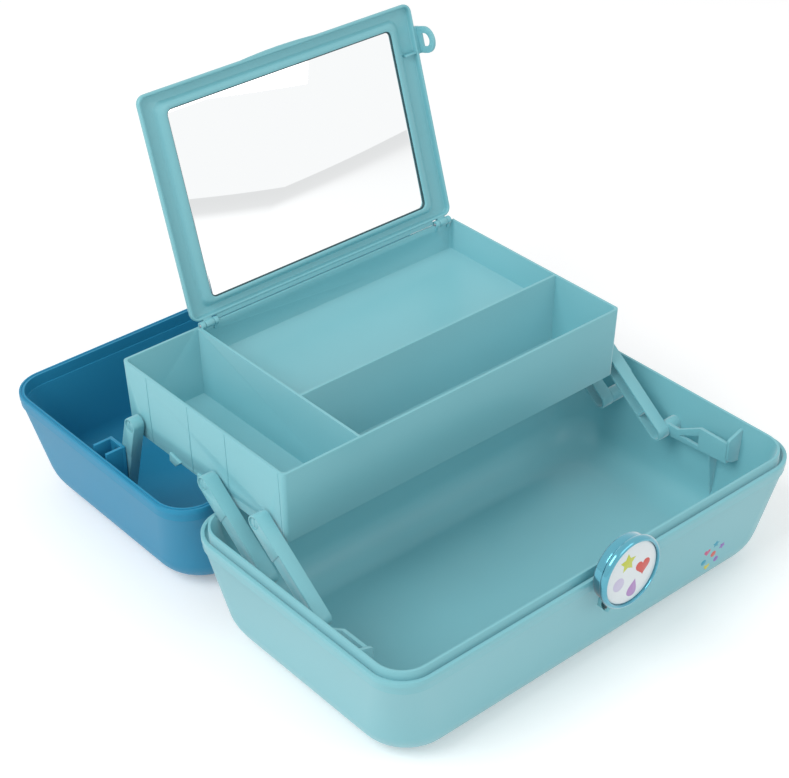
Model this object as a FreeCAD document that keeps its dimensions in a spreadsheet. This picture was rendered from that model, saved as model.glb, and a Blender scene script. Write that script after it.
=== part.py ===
import FreeCAD, Part
import math
import os
import re
import Sketcher
from FreeCAD import Placement, Rotation, Vector

# Makeup storage case. X runs left to right, Y front to back, Z up. The origin is on the
# table, under the middle of the base tub. The case stands open: the lid lies on its top
# behind the base, and the arms hold the tray above the hinge.

SIZES = {
    # Both tubs, over the lip.
    "case_width": 330,
    "case_depth": 192,
    "tub_height": 76,
    "corner_radius": 24,
    "foot_radius": 34,
    "foot_round": 26,
    "lip_height": 8.5,
    "lip_band": 4.1,
    "lip_step": 0.6,
    "lip_proud": 1.4,
    "floor_thickness": 2.4,
    "hollow_radius": 30,
    "hollow_round": 24,
    # Base: how far its wall stands in at the table, its groove and its collar.
    "base_foot_inset": 10.9,
    "base_floor_inset": 13.4,
    "groove_inset": 2.4,
    "groove_depth": 3.5,
    "collar_inset": 4.5,
    "collar_wall": 1.7,
    "collar_rise": 4.3,
    # Lid: its sides lean in more than its front and back.
    "lid_side_foot_inset": 13.9,
    "lid_front_foot_inset": 9.8,
    "skirt_wall": 3.6,
    "skirt_depth": 8,
    "lid_side_inset": 6.3,
    "lid_front_inset": 4.4,
    "lid_side_floor_inset": 18.4,
    "lid_front_floor_inset": 11.9,
    "rim_groove_inset": 1.4,
    "rim_groove_width": 0.8,
    "rim_groove_depth": 0.6,
    "catch_width": 24,
    "catch_proud": 0.9,
    "catch_drop": 3.6,
    "catch_height": 2,
    # Case hinge.
    "hinge_gap": 3.9,
    "hinge_rise": 0.2,
    "hinge_spread": 95,
    "knuckle_radius": 3.6,
    "knuckle_length": 14,
    "knuckle_gap": 0.4,
    "web_bite": 1,
    "case_pin_radius": 1.5,
    "pin_play": 0.1,
    # Arms, and the pivots that they turn on.
    "arm_length": 66.5,
    "arm_lean": 36.9,
    "arm_width": 10.4,
    "arm_gap": 0.3,
    "arm_thick": 9,
    "arm_web": 1.8,
    "arm_flange": 1.6,
    "arm_rib_place": 15,
    "arm_rib": 1.6,
    "arm_hole_radius": 2.7,
    "arm_recess_radius": 4.1,
    "arm_recess_depth": 0.7,
    "front_pivot": -0.2,
    "middle_pivot": 49.7,
    "pivot_level": 54,
    "lid_arm_length": 59.5,
    "lid_arm_lean": -74.5,
    "lid_arm_thick": 7.5,
    "split_pin_radius": 2.4,
    "split_pin_head": 3.2,
    "split_pin_head_length": 1.5,
    "split_pin_slot": 0.9,
    "split_pin_bite": 6,
    "side_gap": 0.3,
    "base_boss_radius": 5,
    "tray_boss_radius": 3.3,
    # Side brackets inside the base.
    "bracket_gap": 0.9,
    "bracket_wall": 2.5,
    "bracket_reach": 52,
    "bracket_near": 11,
    "bracket_far": 29,
    "bracket_rise": 14.8,
    "bracket_low": 4.6,
    "bracket_drop": 4,
    "bracket_hole": 9,
    "fin_low": 2,
    "rib_place": 36,
    "rib_foot": 20,
    "collar_notch": 14,
    # Lid brackets: a plate with a slot, on two ribs.
    "lid_bracket_gap": 0.4,
    "lid_bracket_wall": 2.4,
    "lid_bracket_edge": 4,
    "lid_slot_length": 32.5,
    "lid_slot_lean": 95.3,
    # Tray.
    "tray_side_room": 29.3,
    "tray_depth": 159.7,
    "tray_height": 50,
    "tray_draft": 1.5,
    "tray_wall": 1.8,
    "tray_floor": 2,
    "tray_corner": 3,
    "tray_pivot_back": 17.1,
    "tray_pivot_rise": 11.3,
    "lid_arm_pivot_inset": 14.3,
    "divider_place": 56.2,
    "divider_wall": 2,
    "shelf_front": 56.2,
    "shelf_level": 28,
    "peg_radius": 2,
    "peg_proud": 1.2,
    "nub_place": 80,
    "nub_length": 7,
    "nub_proud": 1.5,
    # Mirror lid, hinged on the top rear edge of the tray.
    "mirror_lean": 72.9,
    "mirror_length": 146.6,
    "mirror_width": 217.6,
    "mirror_start": 3,
    "mirror_thick": 4.5,
    "mirror_corner": 6,
    "mirror_edge_round": 2.2,
    "mirror_hinge_rise": 0.4,
    "mirror_hinge_inset": 1.6,
    "mirror_hinge_left": 11,
    "mirror_hinge_right": 9.6,
    "glass_width": 179.2,
    "glass_length": 122.5,
    "glass_start": 13.8,
    "glass_shift": -0.8,
    "glass_corner": 4,
    "glass_thick": 1.6,
    "glass_depth": 2,
    "glass_play": 0.2,
    "mirror_knuckle_radius": 2.6,
    "mirror_knuckle_length": 6.4,
    "mirror_knuckle_gap": 0.3,
    "mirror_ear": 3.1,
    "mirror_pin_radius": 1,
    "thumb_width": 63,
    "thumb_rise": 1.2,
    "thumb_thick": 2,
    "loop_place": 124,
    "loop_radius": 9,
    "loop_drop": 6,
    "loop_wall": 1.8,
    "loop_hole": 4.5,
    # Latch.
    "latch_level": 78,
    "latch_gap": 1.4,
    "drum_radius": 21.5,
    "drum_depth": 7.2,
    "bezel_radius": 23.6,
    "bezel_depth": 4.4,
    "bezel_wall": 2.8,
    "face_depth": 2.6,
    "face_play": 0.2,
    "latch_pivot_level": 53,
    "latch_pivot_gap": 2.5,
    "neck_width": 13.6,
    "neck_thick": 4,
    "latch_knuckle": 3.2,
    "lug_wall": 3,
    "lug_gap": 0.4,
    "latch_pin_radius": 1.5,
    # Swing handle in a recess in the lid's top.
    "handle_width": 116,
    "handle_reach": 34,
    "handle_thick": 9,
    "handle_grip": 12,
    "handle_arm": 10,
    "handle_pivot": 13,
    "handle_clear": 0.6,
    "handle_edge": 2,
    "recess_depth": 12,
    "recess_wall": 2.4,
    "handle_pin_radius": 1.5,
}
# Sizes that follow from the others: the tray fills the case but for the room beside it.
FOLLOWS = {
    "tray_width": "(case_width - 2 * tray_side_room)",
    "arm_near": "(case_width / 2 - tray_side_room + arm_gap)",
    "lid_arm_pivot_back": "(tray_depth - lid_arm_pivot_inset)",
}
SIDES = {"left": -1, "right": 1}

doc = FreeCAD.newDocument("makeup_case")
sheet = doc.addObject("Spreadsheet::Sheet", "sizes")
for row, (alias, value) in enumerate(SIZES.items(), 1):
    sheet.set("A%d" % row, alias)
    sheet.set("B%d" % row, str(value))
    sheet.setAlias("B%d" % row, alias)
doc.recompute()

ALIAS = re.compile(r"\b(" + "|".join(SIZES) + r")\b")
FOLLOWING = re.compile(r"\b(" + "|".join(FOLLOWS) + r")\b")


def spell(text):
    """A sum of dimensions, in the words of the sheet."""
    return ALIAS.sub(r"sizes.\1", FOLLOWING.sub(lambda found: FOLLOWS[found.group(1)], text))


def size(alias):
    """One dimension as a number, worked out from the sheet."""
    return float(sheet.evalExpression(spell(alias)))


def bind(item, target, text):
    """Tie one property of a feature to a sum of the sheet's dimensions."""
    item.setExpression(target, spell(text))


def locate(item, x, y, z):
    """Tie the place of a primitive to the sheet."""
    for axis, text in zip("xyz", (x, y, z)):
        bind(item, "Placement.Base." + axis, text)


# --- Primitives and booleans -----------------------------------------------------------

def box(name, x, y, z, length, width, height):
    item = doc.addObject("Part::Box", name)
    for target, text in (("Length", length), ("Width", width), ("Height", height)):
        bind(item, target, text)
    locate(item, x, y, z)
    return item


def rod(name, turn, x, y, z, radius, length):
    """A round bar from its start point, turned from +Z by the given rotation."""
    item = doc.addObject("Part::Cylinder", name)
    item.Placement = Placement(Vector(), turn)
    bind(item, "Radius", radius)
    bind(item, "Height", length)
    locate(item, x, y, z)
    return item


ALONG_X = Rotation(Vector(0, 1, 0), 90)
ALONG_Y = Rotation(Vector(1, 0, 0), -90)
ALONG_Z = Rotation()


def start(side, near, far):
    """Where a piece starts along X when it spans near to far out from the middle."""
    return near if side > 0 else "-(%s)" % far


def side_box(name, side, near, far, y, z, width, height):
    return box(name, start(side, near, far), y, z, "%s - (%s)" % (far, near), width, height)


def side_rod(name, side, near, far, y, z, radius):
    return rod(name, ALONG_X, start(side, near, far), y, z, radius, "%s - (%s)" % (far, near))


def fuse(name, items):
    item = doc.addObject("Part::MultiFuse", name)
    item.Shapes = items
    return item


def cut(name, base, tools):
    item = doc.addObject("Part::Cut", name)
    item.Base = base
    item.Tool = tools[0] if len(tools) == 1 else fuse(name + "_tools", tools)
    return item


def common(name, base, tool):
    item = doc.addObject("Part::Common", name)
    item.Base = base
    item.Tool = tool
    return item


def group(name, items):
    item = doc.addObject("Part::Compound", name)
    item.Links = items
    return item


# --- Sketches and features -------------------------------------------------------------

def new_body(name):
    return doc.addObject("PartDesign::Body", name)


def new_sketch(body, name, level, x="0", y="0", role="XY_Plane"):
    """A sketch on one of the body's own planes, moved out to a level."""
    sketch = body.newObject("Sketcher::SketchObject", name)
    plane = next(item for item in body.Origin.OriginFeatures if item.Role == role)
    sketch.AttachmentSupport = (plane, [""])
    sketch.MapMode = "FlatFace"
    for axis, text in zip("xyz", (x, y, level)):
        bind(sketch, "AttachmentOffset.Base." + axis, text)
    return sketch


def constrain(sketch, name, text, *what):
    """Add a named dimension, which starts as drawn, and tie it to the sheet."""
    index = sketch.addConstraint(Sketcher.Constraint(*what))
    sketch.renameConstraint(index, name)
    bind(sketch, "Constraints." + name, text)


def round_rectangle(sketch, half_x, half_y, radius, tag=""):
    """A rectangle about the sketch's origin with four round corners."""
    far_x, far_y, bend = 140.0, 90.0, 20.0
    first = sketch.GeometryCount
    for turn, (way_x, way_y) in enumerate(((1, 1), (-1, 1), (-1, -1), (1, -1))):
        middle = Vector(way_x * (far_x - bend), way_y * (far_y - bend), 0)
        circle = Part.Circle(middle, Vector(0, 0, 1), bend)
        quarter = math.pi / 2
        sketch.addGeometry(Part.ArcOfCircle(circle, turn * quarter, (turn + 1) * quarter), False)
    for turn in range(4):
        ends = (sketch.getPoint(first + turn, 2), sketch.getPoint(first + (turn + 1) % 4, 1))
        sketch.addGeometry(Part.LineSegment(*ends), False)
    arcs = range(first, first + 4)
    lines = range(first + 4, first + 8)
    for turn in range(4):
        level = "Horizontal" if turn % 2 == 0 else "Vertical"
        sketch.addConstraint(Sketcher.Constraint("Tangent", arcs[turn], 2, lines[turn], 1))
        sketch.addConstraint(Sketcher.Constraint("Tangent", lines[turn], 2, arcs[(turn + 1) % 4], 1))
        sketch.addConstraint(Sketcher.Constraint(level, lines[turn]))
    for arc in arcs[1:]:
        sketch.addConstraint(Sketcher.Constraint("Equal", arcs[0], arc))
    constrain(sketch, "corner" + tag, radius, "Radius", arcs[0], bend)
    constrain(sketch, "right" + tag, half_x, "DistanceX", -1, 1, lines[3], 1, far_x)
    constrain(sketch, "left" + tag, half_x, "DistanceX", lines[1], 1, -1, 1, far_x)
    constrain(sketch, "back" + tag, half_y, "DistanceY", -1, 1, lines[0], 1, far_y)
    constrain(sketch, "front" + tag, half_y, "DistanceY", lines[2], 1, -1, 1, far_y)


def polygon(sketch, points, tag=""):
    """A closed outline whose corners are tied to the sheet, each from the origin."""
    first = sketch.GeometryCount
    spots = [Vector(10 * math.cos(k), 10 * math.sin(k), 0) for k in range(len(points))]
    for k in range(len(points)):
        sketch.addGeometry(Part.LineSegment(spots[k], spots[(k + 1) % len(points)]), False)
    for k, (x, y) in enumerate(points):
        after = first + (k + 1) % len(points)
        sketch.addConstraint(Sketcher.Constraint("Coincident", first + k, 2, after, 1))
        constrain(sketch, "x%s%d" % (tag, k), x, "DistanceX", -1, 1, first + k, 1, spots[k].x)
        constrain(sketch, "y%s%d" % (tag, k), y, "DistanceY", -1, 1, first + k, 1, spots[k].y)


def section(body, name, level, inset_x, inset_y, radius):
    """One level of a tub: its rounded outline, set in from the lip."""
    sketch = new_sketch(body, name, level)
    half_x = "case_width / 2 - (%s)" % inset_x
    half_y = "case_depth / 2 - (%s)" % inset_y
    round_rectangle(sketch, half_x, half_y, radius)
    return sketch


def lip_section(body, name, level, inset):
    """An outline parallel to the lip."""
    return section(body, name, level, inset, inset, "corner_radius - (%s)" % inset)


def ring_section(body, name, level, outer, inner):
    """A ring parallel to the lip."""
    sketch = lip_section(body, name, level, outer)
    half_x = "case_width / 2 - (%s)" % inner
    half_y = "case_depth / 2 - (%s)" % inner
    round_rectangle(sketch, half_x, half_y, "corner_radius - (%s)" % inner, "_inner")
    return sketch


def loft(body, name, sections):
    """A solid with straight walls from each section up to the next."""
    item = body.newObject("PartDesign::AdditiveLoft", name)
    item.Profile = sections[0]
    item.Sections = sections[1:]
    item.Ruled = True
    return item


def extrude(body, kind, name, sketch, length):
    item = body.newObject("PartDesign::" + kind, name)
    item.Profile = sketch
    bind(item, "Length", length)
    return item


def round_level(body, name, base, level, radius):
    """Round the edges of a feature that lie at one level."""
    doc.recompute()
    edges = []
    for number, edge in enumerate(base.Shape.Edges, 1):
        if all(abs(corner.Point.z - level) < 0.01 for corner in edge.Vertexes):
            edges.append("Edge%d" % number)
    item = body.newObject("PartDesign::Fillet", name)
    item.Base = (base, edges)
    bind(item, "Radius", radius)
    return item


# --- The two tubs ----------------------------------------------------------------------

BEND_STEPS = 6


def tub_solid(body, name, low, top, foot, neck, radii, bend):
    """A drafted tub shape: straight walls above a bend into a flat floor. foot and neck hold
    the insets in X and Y, radii the corner radius at the foot and at the neck."""
    rise = "((%s) - (%s))" % (top, low)
    slopes = ["(((%s) - (%s)) / %s)" % (foot[way], neck[way], rise) for way in (0, 1)]
    sections = []
    for step in range(BEND_STEPS, 0, -1):
        angle = math.radians(90 * step / BEND_STEPS)
        level = "(%s * %.6f)" % (bend, 1 - math.sin(angle))
        grow = ["(%s * (sqrt(1 + %s ^ 2) - %s - %.6f))" % (bend, slope, slope, math.cos(angle))
                for slope in slopes]
        insets = ["(%s) + %s" % (foot[way], grow[way]) for way in (0, 1)]
        radius = "(%s) + ((%s) - (%s)) * %s / %s - %s - %s * %s" % (
            radii[0], radii[1], radii[0], level, rise, grow[0], level, slopes[0])
        sections.append(section(body, "%s_bend_%d" % (name, step), "(%s) + %s" % (low, level),
                                insets[0], insets[1], radius))
    sections.append(section(body, name + "_neck", top, neck[0], neck[1], radii[1]))
    return loft(body, name + "_wall", sections)


def tub_block(name, foot_inset_x, foot_inset_y):
    """The outside of a tub as a solid block, with the two bands of its lip."""
    body = new_body(name)
    tub_solid(body, name, "0", "tub_height - lip_height", (foot_inset_x, foot_inset_y),
              ("lip_proud", "lip_proud"), ("foot_radius", "corner_radius - lip_proud"), "foot_round")
    lower = lip_section(body, name + "_lower_outline", "tub_height - lip_height", "lip_step")
    extrude(body, "Pad", name + "_lower_band", lower, "lip_height - lip_band")
    upper = lip_section(body, name + "_upper_outline", "tub_height - lip_band", "0")
    extrude(body, "Pad", name + "_upper_band", upper, "lip_band")
    return body


def tub_hollow(name, top, foot, neck, neck_radius):
    """The room inside a tub, round where its walls meet its floor."""
    body = new_body(name)
    tub_solid(body, name, "floor_thickness", top, foot, neck, ("hollow_radius", neck_radius),
              "hollow_round")
    return body


def hinge_places():
    return (("left", "-hinge_spread"), ("right", "hinge_spread"))


HINGE_Y = "(case_depth / 2 + hinge_gap)"
HINGE_Z = "(tub_height + hinge_rise)"


def knuckle(name, place, low, high, y, web_y):
    """One barrel of the case hinge, on a web that runs into the lip."""
    length = "%s - (%s)" % (high, low)
    x = "%s + %s" % (place, low)
    barrel = rod(name, ALONG_X, x, y, HINGE_Z, "knuckle_radius", length)
    web = box(name + "_web", x, web_y, HINGE_Z + " - knuckle_radius", length, "hinge_gap + web_bite",
              "knuckle_radius")
    return [barrel, web]


def base_brackets(side, tag):
    """Bosses for two arms, and the plate, fin and rib that stiffen the front one."""
    face = "arm_near + arm_thick + side_gap"
    near = "arm_near + arm_thick + bracket_gap"
    wall = "case_width / 2"
    items = []
    for name, place in (("front", "front_pivot"), ("middle", "middle_pivot")):
        items.append(side_rod(name + "_boss_" + tag, side, face, wall, place, "pivot_level",
                              "base_boss_radius"))
    body = new_body("bracket_" + tag)
    level = near if side > 0 else "-(%s + bracket_wall)" % near
    outline = new_sketch(body, "bracket_outline_" + tag, level, "front_pivot", "pivot_level",
                         "YZ_Plane")
    polygon(outline, (("0", "-bracket_drop"), ("0", "bracket_low"),
                      ("-bracket_near", "bracket_low"), ("-bracket_far", "bracket_rise"),
                      ("-bracket_reach", "bracket_rise"), ("-bracket_reach", "0")))
    polygon(outline, (("-bracket_far", "0"), ("-bracket_far", "bracket_hole"),
                      ("-bracket_near", "0")), "hole")
    extrude(body, "Pad", "bracket_plate_" + tag, outline, "bracket_wall")
    fin_y = "front_pivot - bracket_reach"
    fin_z = "pivot_level + fin_low"
    items += [
        body,
        side_box("fin_" + tag, side, near, wall, fin_y, fin_z, "bracket_wall", "tub_height - (%s)" % fin_z),
        side_box("rib_" + tag, side, near, wall, "front_pivot - rib_place - bracket_wall", "rib_foot",
                 "bracket_wall", "pivot_level + bracket_low - rib_foot"),
    ]
    return items


def make_base_tub():
    """The lower tub, moulded in one with its hinge barrels, latch lugs and brackets."""
    block = tub_block("base_block", "base_foot_inset", "base_foot_inset")
    groove = ring_section(block, "groove_outline", "tub_height", "groove_inset", "collar_inset")
    extrude(block, "Pocket", "groove", groove, "groove_depth")
    collar = lip_section(block, "collar_outline", "tub_height", "collar_inset")
    extrude(block, "Pad", "collar", collar, "collar_rise")
    mouth = "collar_inset + collar_wall"
    hollow = tub_hollow("base_hollow", "tub_height + collar_rise",
                        ("base_floor_inset", "base_floor_inset"), (mouth, mouth),
                        "corner_radius - (%s)" % mouth)
    shell = cut("base_shell", block, [hollow])
    brackets = []
    notches = []
    bores = []
    for tag, side in SIDES.items():
        brackets += base_brackets(side, tag)
        notches.append(side_box("collar_notch_" + tag, side, "arm_near - 2", "arm_near - 2 + collar_notch",
                                "case_depth / 2 - collar_inset - collar_wall - 1",
                                "tub_height", "collar_wall + 2", "collar_rise + 1"))
        for name, place in (("front", "front_pivot"), ("middle", "middle_pivot")):
            bores.append(side_rod(name + "_bore_" + tag, side, "arm_near + arm_thick",
                                  "arm_near + arm_thick + side_gap + split_pin_bite",
                                  place, "pivot_level", "split_pin_radius"))
    inside = common("base_inside", block, fuse("base_brackets", brackets))
    outside = []
    half = "knuckle_length / 2 + knuckle_gap"
    for tag, place in hinge_places():
        for way, low, high in (("in", half, half + " + knuckle_length"),
                               ("out", "-(%s + knuckle_length)" % half, "-(%s)" % half)):
            outside += knuckle("base_knuckle_%s_%s" % (tag, way), place, low, high, HINGE_Y,
                               "case_depth / 2 - web_bite")
        bores.append(rod("case_pin_bore_" + tag, ALONG_X, place + " - 2 * knuckle_length", HINGE_Y,
                         HINGE_Z, "case_pin_radius", "4 * knuckle_length"))
    lug_near = "neck_width / 2 + lug_gap"
    for tag, side in SIDES.items():
        far = lug_near + " + lug_wall"
        outside.append(side_rod("latch_lug_" + tag, side, lug_near, far, LATCH_Y,
                                "latch_pivot_level", "latch_knuckle + lug_gap / 2"))
        outside.append(side_box("latch_lug_web_" + tag, side, lug_near, far, LATCH_Y,
                                "latch_pivot_level - latch_knuckle", "-case_depth / 2 + 5 - " + LATCH_Y,
                                "2 * latch_knuckle"))
    bores.append(rod("latch_pin_bore", ALONG_X, "-neck_width", LATCH_Y, "latch_pivot_level",
                     "latch_pin_radius", "2 * neck_width"))
    whole = fuse("base_moulding", [shell, inside] + outside)
    return cut("base_tub", whole, bores + notches)


# The latch pivots in front of the base wall, under its drum.
LATCH_Y = "(-case_depth / 2 - latch_pivot_gap)"


def lid_bracket(side, tag):
    """An upright plate with a slot for the end of the lid arm, on two ribs from the side wall."""
    near = "arm_near + lid_arm_thick + lid_bracket_gap"
    far = near + " + lid_bracket_wall"
    foot = lid_arm_end()
    lean = math.radians(size("lid_slot_lean"))
    top = foot + Vector(0, math.cos(lean), math.sin(lean)) * size("lid_slot_length")
    edge = size("lid_bracket_edge") + size("split_pin_radius")
    low_y, high_y = min(foot.y, top.y) - edge, max(foot.y, top.y) + edge
    low_z, height = foot.z - edge, top.z - foot.z + 2 * edge
    items = [side_box("lid_plate_" + tag, side, near, far, str(low_y), str(low_z),
                      str(high_y - low_y), str(height))]
    for name, place in (("front", str(low_y)), ("back", "%s - lid_bracket_wall" % high_y)):
        items.append(side_box("lid_rib_%s_%s" % (name, tag), side, near, "case_width / 2", place,
                              str(low_z), "lid_bracket_wall", str(height)))
    gap = stadium("lid_slot_" + tag, side, near + " - 1", far + " + 1", "lid_slot_length",
                  "split_pin_radius + side_gap")
    gap.Placement = Placement(foot, Rotation(Vector(1, 0, 0), size("lid_slot_lean")))
    return items, gap


def make_lid_tub():
    """The upper tub, moulded like the base, with the handle's recess in its top."""
    block = tub_block("lid_block", "lid_side_foot_inset", "lid_front_foot_inset")
    rim = "rim_groove_inset + rim_groove_width"
    groove = ring_section(block, "rim_groove_outline", "tub_height", "rim_groove_inset", rim)
    extrude(block, "Pocket", "rim_groove", groove, "rim_groove_depth")
    skirt = lip_section(block, "skirt_outline", "tub_height", "skirt_wall")
    extrude(block, "Pocket", "skirt", skirt, "skirt_depth")
    hollow = tub_hollow("lid_hollow", "tub_height - skirt_depth",
                        ("lid_side_floor_inset", "lid_front_floor_inset"),
                        ("lid_side_inset", "lid_front_inset"), "corner_radius - lid_side_inset")
    shell = cut("lid_shell", block, [hollow])
    brackets = []
    gaps = []
    for tag, side in SIDES.items():
        items, gap = lid_bracket(side, tag)
        brackets += items
        gaps.append(gap)
    inside = common("lid_inside", block, fuse("lid_brackets", brackets))
    more = []
    for tag, place in hinge_places():
        more += knuckle("lid_knuckle_" + tag, place, "-knuckle_length / 2", "knuckle_length / 2",
                        "-" + HINGE_Y, "-" + HINGE_Y)
        gaps.append(rod("lid_pin_bore_" + tag, ALONG_X, place + " - knuckle_length", "-" + HINGE_Y,
                        HINGE_Z, "case_pin_radius + pin_play", "2 * knuckle_length"))
    more.append(box("catch", "-catch_width / 2", "case_depth / 2 - web_bite",
                    "tub_height - catch_drop - catch_height", "catch_width",
                    "catch_proud + web_bite", "catch_height"))
    room = "handle_thick / 2 + handle_clear"
    back = "handle_pivot + " + room
    length = "handle_reach + handle_clear + " + room
    half = "(handle_width / 2 + handle_clear)"
    more.append(box("recess_tub", "-(%s + recess_wall)" % half, "%s - (%s) - recess_wall" % (back, length),
                    "0", "2 * (%s + recess_wall)" % half, length + " + 2 * recess_wall",
                    "recess_depth + recess_wall"))
    gaps.append(box("recess", "-" + half, "%s - (%s)" % (back, length), "-1", "2 * " + half, length,
                    "recess_depth + 1"))
    gaps.append(rod("handle_pin_bore", ALONG_X, "-handle_width", "handle_pivot", "recess_depth / 2",
                    "handle_pin_radius", "2 * handle_width"))
    whole = fuse("lid_moulding", [shell, inside] + more)
    lid = cut("lid_tub", whole, gaps)
    lid.Placement = Placement(Vector(0, lid_shift(), 0), Rotation())
    return lid


def lid_shift():
    """How far the middle of the open lid lies behind the middle of the base."""
    return size("case_depth") + 2 * size("hinge_gap")


# --- Arms and their pins ---------------------------------------------------------------

def stadium(name, side, near, far, length, radius):
    """A bar with round ends: pivot at the origin, other end along +Y, flat faces across X."""
    return fuse(name, [
        side_box(name + "_bar", side, near, far, "0", "-(%s)" % radius, length, "2 * (%s)" % radius),
        side_rod(name + "_start", side, near, far, "0", "0", radius),
        side_rod(name + "_end", side, near, far, length, "0", radius),
    ])


def arm_vector(length, lean):
    angle = math.radians(size(lean))
    return Vector(0, math.cos(angle), math.sin(angle)) * size(length)


def tray_corner_place():
    """The front lower edge of the tray, where the arms carry it."""
    pivot = Vector(0, size("front_pivot"), size("pivot_level")) + arm_vector("arm_length", "arm_lean")
    return pivot - Vector(0, size("tray_pivot_back"), size("tray_pivot_rise"))


def lid_arm_start():
    return tray_corner_place() + Vector(0, size("lid_arm_pivot_back"), size("tray_pivot_rise"))


def lid_arm_end():
    """The free end of the lid arm, seen from the middle of the open lid."""
    return lid_arm_start() + arm_vector("lid_arm_length", "lid_arm_lean") - Vector(0, lid_shift(), 0)


def make_arm(name, side, length, thick, recess_place):
    """A channel that is open towards the tray, with a hole in its web at each end."""
    bar = stadium(name + "_bar", side, "0", thick, length, "arm_width / 2")
    room = stadium(name + "_room", side, "-1", thick + " - arm_web", length,
                   "arm_width / 2 - arm_flange")
    rib = side_box(name + "_rib", side, "0", thick + " - arm_web / 2", "arm_rib_place",
                   "-(arm_width / 2 - arm_flange / 2)", "arm_rib", "arm_width - arm_flange")
    channel = fuse(name + "_channel", [cut(name + "_shell", bar, [room]), rib])
    holes = []
    for end, place in (("pivot", "0"), ("far", length)):
        holes.append(side_rod(name + "_hole_" + end, side, "0", thick + " + 1", place, "0",
                              "arm_hole_radius"))
    holes.append(side_rod(name + "_recess", side, thick + " - arm_recess_depth", thick + " + 1",
                          recess_place, "0", "arm_recess_radius"))
    return cut(name, channel, holes)


def make_arms():
    arms = []
    for tag, side in SIDES.items():
        for name, place in (("front_arm_", "front_pivot"), ("middle_arm_", "middle_pivot")):
            arm = make_arm(name + tag, side, "arm_length", "arm_thick", "arm_length")
            spot = Vector(side * size("arm_near"), size(place), size("pivot_level"))
            arm.Placement = Placement(spot, Rotation(Vector(1, 0, 0), size("arm_lean")))
            arms.append(arm)
        arm = make_arm("lid_arm_" + tag, side, "lid_arm_length", "lid_arm_thick", "0")
        spot = Vector(side * size("arm_near"), 0, 0) + lid_arm_start()
        arm.Placement = Placement(spot, Rotation(Vector(1, 0, 0), size("lid_arm_lean")))
        arms.append(arm)
    return arms


def split_pin(name, side, y, z, tail, shank, head_start, head_end):
    """A pin with a slotted head, pressed into a boss. The distances are out from the middle."""
    ends = (head_start, head_end)
    low, high = (tail, head_end) if shank > 0 else (head_start, tail)
    bar = side_rod(name + "_shank", side, low, high, y, z, "split_pin_radius")
    head = side_rod(name + "_head", side, ends[0], ends[1], y, z, "split_pin_head")
    whole = fuse(name + "_solid", [bar, head])
    slot = side_box(name + "_slot", side, head_start, head_end,
                    "%s - split_pin_slot / 2" % y, "%s - 2 * split_pin_head" % z,
                    "split_pin_slot", "4 * split_pin_head")
    return cut(name, whole, [slot])


def make_base_pins():
    """Four pins in the base's bosses, with their heads inside the channels of the arms."""
    face = "arm_near + arm_thick - arm_web - side_gap"
    pins = []
    for tag, side in SIDES.items():
        for name, place in (("front", "front_pivot"), ("middle", "middle_pivot")):
            pins.append(split_pin("%s_base_pin_%s" % (name, tag), side, place, "pivot_level",
                                  "arm_near + arm_thick + side_gap + split_pin_bite", -1,
                                  face + " - split_pin_head_length", face))
    return group("base_split_pins", pins)


def tray_pin_places():
    """Each pivot on the tray: its distance behind the tray's front, and its arm's thickness."""
    spread = "(middle_pivot - front_pivot)"
    return (
        ("front", "tray_pivot_back", "arm_thick"),
        ("middle", "(tray_pivot_back + %s)" % spread, "arm_thick"),
        ("rear", "lid_arm_pivot_back", "lid_arm_thick"),
    )


def make_tray_pins():
    """Six pins in the tray's bosses, whose slotted ends show in the arms' recesses."""
    pins = []
    for tag, side in SIDES.items():
        for name, place, thick in tray_pin_places():
            outer = "arm_near + %s - side_gap / 3" % thick
            pins.append(split_pin("%s_tray_pin_%s" % (name, tag), side, place, "tray_pivot_rise",
                                  "arm_near + side_gap", 1,
                                  outer + " - arm_recess_depth / 2", outer))
    pins = group("tray_split_pins", pins)
    pins.Placement = Placement(tray_corner_place(), Rotation())
    return pins


def make_lid_arm_pins():
    """A pin through the free end of each lid arm, cut off level with the arm's outer face."""
    pins = []
    for tag, side in SIDES.items():
        web = "lid_arm_thick - arm_web"
        name = "lid_arm_pin_" + tag
        bar = side_rod(name + "_shank", side, web, "lid_arm_thick", "lid_arm_length", "0",
                       "arm_hole_radius")
        head = side_rod(name + "_head", side, web + " - split_pin_head_length", web,
                        "lid_arm_length", "0", "split_pin_head")
        pin = fuse(name, [bar, head])
        spot = Vector(side * size("arm_near"), 0, 0) + lid_arm_start()
        pin.Placement = Placement(spot, Rotation(Vector(1, 0, 0), size("lid_arm_lean")))
        pins.append(pin)
    return pins


# --- Tray ------------------------------------------------------------------------------

def tray_section(body, name, level, inset):
    """One level of the tray, whose front edge is the Y zero of its own frame."""
    sketch = new_sketch(body, name, level, "0", "tray_depth / 2")
    round_rectangle(sketch, "tray_width / 2 - (%s)" % inset, "tray_depth / 2 - (%s)" % inset,
                    "tray_corner")
    return sketch


MIRROR_HINGE_Y = "(tray_depth - mirror_hinge_inset)"
MIRROR_HINGE_Z = "(tray_height + mirror_hinge_rise)"
MIRROR_RIGHT = "(tray_width / 2 - 0.1)"


def mirror_hinge_places():
    return (("left", "(%s - mirror_width + mirror_hinge_left)" % MIRROR_RIGHT),
            ("right", "(%s - mirror_hinge_right)" % MIRROR_RIGHT))


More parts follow.
